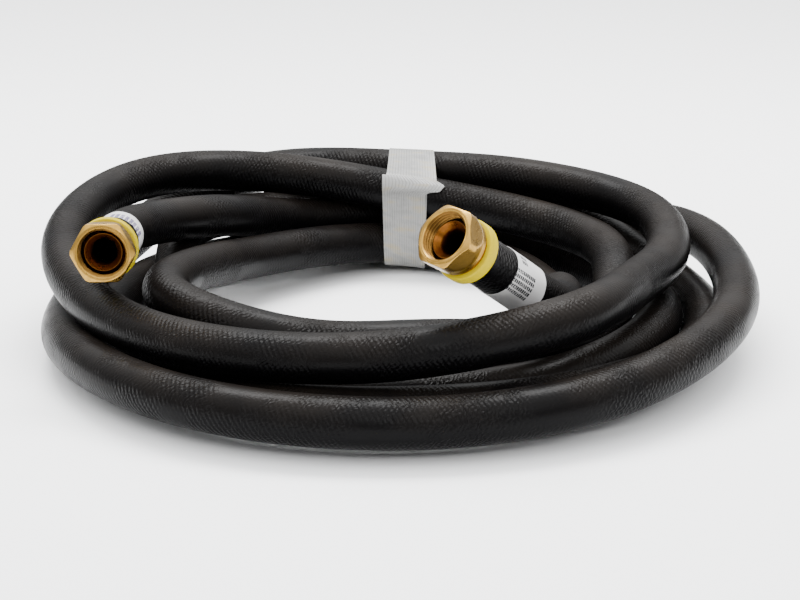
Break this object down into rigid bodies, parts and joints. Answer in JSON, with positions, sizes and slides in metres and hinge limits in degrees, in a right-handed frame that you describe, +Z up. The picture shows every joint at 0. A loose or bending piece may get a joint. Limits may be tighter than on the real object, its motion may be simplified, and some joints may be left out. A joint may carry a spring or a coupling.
{
  "type": "hose assembly",
  "caption": "Coiled black rubber hose with a brass swivel nut fitting, yellow collar and white label on each end, tied with clear tape.",
  "frame": {"origin": "on the floor under the middle of the coil", "axes": "+Z up, -Y towards the side that the picture is taken from, +X to its right"},
  "size_m": [0.4309, 0.4448, 0.1206],
  "materials": {
    "rubber": "black rubber cover with the fine print of its wrapping cloth, dusty satin",
    "brass": "machined, slightly dull",
    "yellow_plastic": "satin moulded",
    "white_label": "satin film with small dark print marks",
    "white_film": "milky film with fine threads"
  },
  "bodies": {
    "coil": {"hose": "rubber", "stem_left": "brass", "stem_right": "brass", "collar_left": "yellow_plastic", "collar_right": "yellow_plastic", "label_left": "white_label", "label_right": "white_label", "tie_tape": "white_film"},
    "nut_left": {"swivel_nut_left": "brass"},
    "nut_right": {"swivel_nut_right": "brass"}
  },
  "joints": [
    {"name": "swivel_left", "type": "hinge", "parent": "coil", "child": "nut_left", "pos_m": [-0.16041, -0.11553, 0.08297], "axis": [0.019, -0.992, 0.125], "continuous": true},
    {"name": "swivel_right", "type": "hinge", "parent": "coil", "child": "nut_right", "pos_m": [0.02203, -0.17155, 0.10751], "axis": [-0.5762, -0.6142, 0.5392], "continuous": true}
  ]
}
